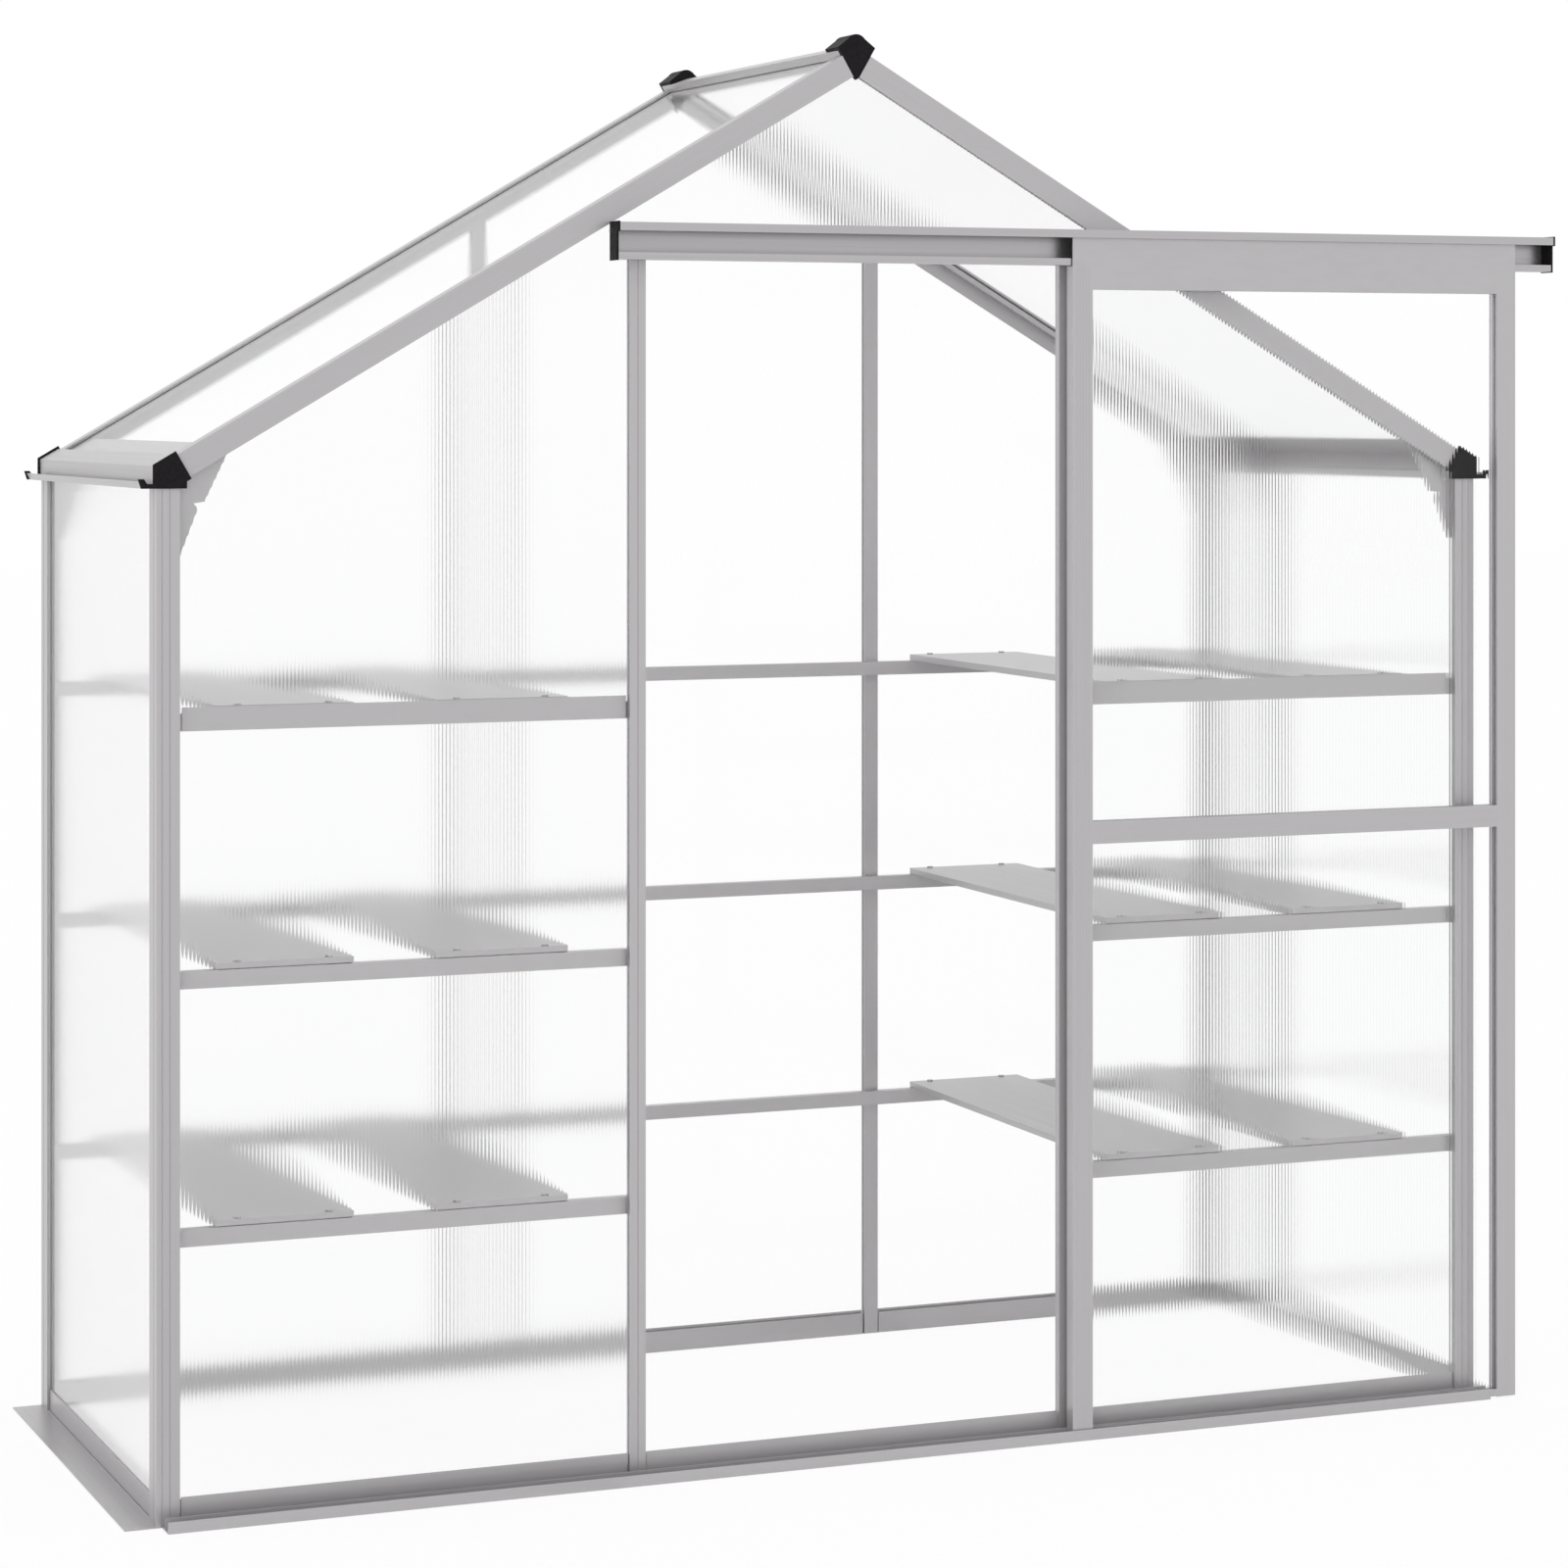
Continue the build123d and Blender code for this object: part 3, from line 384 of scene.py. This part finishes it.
def span_at(edges, u):
    """Lowest and highest place along the ribs where the outline is crossed at u."""
    crossed = []
    for (u0, v0), (u1, v1) in edges:
        if min(u0, u1) <= u <= max(u0, u1) and u0 != u1:
            crossed.append(v0 + (v1 - v0) * (u - u0) / (u1 - u0))
    return min(crossed), max(crossed)


def rib_cuts(node, across, along, out, height):
    """Cuts through a sheet from one edge to the other, each a ring of six points."""
    mesh = nodes[node].data
    edges = outline_edges(node, across, along)
    widths = [vertex.co.dot(across) for vertex in mesh.vertices]
    depths = [vertex.co.dot(out) for vertex in mesh.vertices]
    first, last = min(widths), max(widths)
    inner, outer = min(depths), max(depths)
    margin = (last - first) * EDGE_MARGIN
    count = int((last - first) / RIB_PITCH * RIB_STEPS)
    cuts = []
    for step in range(count + 1):
        u = first + (last - first) * step / count
        low, high = span_at(edges, min(max(u, first + margin), last - margin))
        face = outer + height * (math.cos(2.0 * math.pi * u / RIB_PITCH) - 1.0)
        inner_edge = [(low, inner), (high, inner)]
        outer_edge = [(high, face), (high - HEM, face), (low + HEM, face), (low, face)]
        cuts.append([across * u + along * v + out * w for v, w in inner_edge + outer_edge])
    return cuts


def skin_over(name, cuts):
    """A closed mesh over the cuts, smooth on the ribbed face."""
    corners = len(cuts[0])
    last_cut = corners * (len(cuts) - 1)
    faces = []
    smooth = []
    for near in range(0, last_cut, corners):
        far = near + corners
        for side in range(corners):
            turn = (side + 1) % corners
            faces.append((near + side, near + turn, far + turn, far + side))
            smooth.append(side in RIBBED_SIDES)
    faces.append(tuple(reversed(range(corners))))
    faces.append(tuple(range(last_cut, last_cut + corners)))
    smooth += [False, False]
    mesh = bpy.data.meshes.new(name)
    mesh.from_pydata([tuple(point) for cut in cuts for point in cut], [], faces)
    mesh.polygons.foreach_set("use_smooth", smooth)
    return mesh


def ribbed_sheet(node, body, across, along, out, material, height):
    """A clear sheet with ribs along its outer face, as wide and high as its solid."""
    name = node + "_ribbed"
    mesh = skin_over(name, rib_cuts(node, across, along, out, height))
    if across.cross(along).dot(out) < 0:
        mesh.flip_normals()
    mesh.update()
    mesh.materials.append(material)
    piece = bpy.data.objects.new(name, mesh)
    bpy.context.collection.objects.link(piece)
    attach(piece, body)
    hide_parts(node)


# The sheets, with their ribs upright in the walls and the door and down the slope of the roof
for name in ("front_left_sheet", "front_gable_sheet"):
    ribbed_sheet(name, "house", RIGHT, UP, -BACK, SHEET_FRONT, RIB_SWELL)
ribbed_sheet("front_right_sheet", "house", RIGHT, UP, -BACK, SHEET_BEHIND_DOOR, BEHIND_DOOR_SWELL)
for name in ("back_left_sheet", "back_right_sheet", "back_middle_sheet"):
    ribbed_sheet(name, "house", RIGHT, UP, BACK, SHEET_DOOR_BACK, RIB_SWELL)
for name in ("door_lower_sheet", "door_upper_sheet"):
    ribbed_sheet(name, "door", RIGHT, UP, -BACK, SHEET_DOOR_BACK, RIB_SWELL)
ribbed_sheet("left_side_sheet", "house", BACK, UP, -RIGHT, SHEET_SIDE, SHALLOW_SWELL)
ribbed_sheet("right_side_sheet", "house", BACK, UP, RIGHT, SHEET_SIDE, SHALLOW_SWELL)
for name, side in (("left_roof_sheet", -1.0), ("right_roof_sheet", 1.0)):
    slope, normal = roof_axes(name, side)
    ribbed_sheet(name, "house", BACK, slope, normal, SHEET_ROOF, SHALLOW_SWELL)


def visible_rays(tree):
    """1 for rays that look at the floor, straight, mirrored or through a sheet."""
    rays = tree.nodes.new("ShaderNodeLightPath")
    total = rays.outputs["Is Camera Ray"]
    for name in ("Is Glossy Ray", "Is Transmission Ray"):
        either = tree.nodes.new("ShaderNodeMath")
        either.operation = "MAXIMUM"
        tree.links.new(total, either.inputs[0])
        tree.links.new(rays.outputs[name], either.inputs[1])
        total = either.outputs["Value"]
    return total


def light_world():
    """A white sky that lights the house evenly and is its backdrop."""
    world = bpy.data.worlds.new("white_studio")
    bpy.context.scene.world = world
    world.use_nodes = True
    sky = world.node_tree.nodes["Background"]
    sky.inputs["Color"].default_value = SKY_WHITE
    sky.inputs["Strength"].default_value = WORLD_LIGHT


def lay_floor():
    """A pale floor that glows nearly white to the eye and keeps the house's shadow."""
    mesh = bpy.data.meshes.new("floor")
    half = FLOOR_SIZE / 2
    corners = [(-half, -half, 0.0), (half, -half, 0.0), (half, half, 0.0), (-half, half, 0.0)]
    mesh.from_pydata(corners, [], [(0, 1, 2, 3)])
    floor = bpy.data.objects.new("floor", mesh)
    floor.location.z = cad_low.z - FLOOR_GAP
    bpy.context.collection.objects.link(floor)
    material = bpy.data.materials.new("pale_floor")
    material.use_nodes = True
    tree = material.node_tree
    shader = tree.nodes["Principled BSDF"]
    shader.inputs["Base Color"].default_value = FLOOR_WHITE
    shader.inputs["Roughness"].default_value = 1.0
    shader.inputs["Specular IOR Level"].default_value = 0.0
    glow = tree.nodes.new("ShaderNodeEmission")
    mixed = tree.nodes.new("ShaderNodeMixShader")
    share = tree.nodes.new("ShaderNodeMath")
    share.operation = "MULTIPLY"
    share.inputs[1].default_value = FLOOR_GLOW
    tree.links.new(visible_rays(tree), share.inputs[0])
    tree.links.new(share.outputs["Value"], mixed.inputs["Fac"])
    tree.links.new(shader.outputs["BSDF"], mixed.inputs[1])
    tree.links.new(glow.outputs["Emission"], mixed.inputs[2])
    tree.links.new(mixed.outputs["Shader"], tree.nodes["Material Output"].inputs["Surface"])
    mesh.materials.append(material)


def place_camera():
    """A level camera whose picture is shifted down, so that upright edges stay upright."""
    data = bpy.data.cameras.new("photo_camera")
    data.lens = LENS
    data.sensor_width = SENSOR_WIDE
    data.shift_y = (HORIZON_ROW - IMAGE_SIDE / 2) / IMAGE_SIDE
    camera = bpy.data.objects.new("photo_camera", data)
    camera.location = CAMERA_PLACE
    camera.rotation_euler = (math.pi / 2, 0.0, -math.radians(CAMERA_TURN))
    bpy.context.collection.objects.link(camera)
    bpy.context.scene.camera = camera


light_world()
lay_floor()
place_camera()
bpy.context.scene.view_settings.view_transform = "Standard"
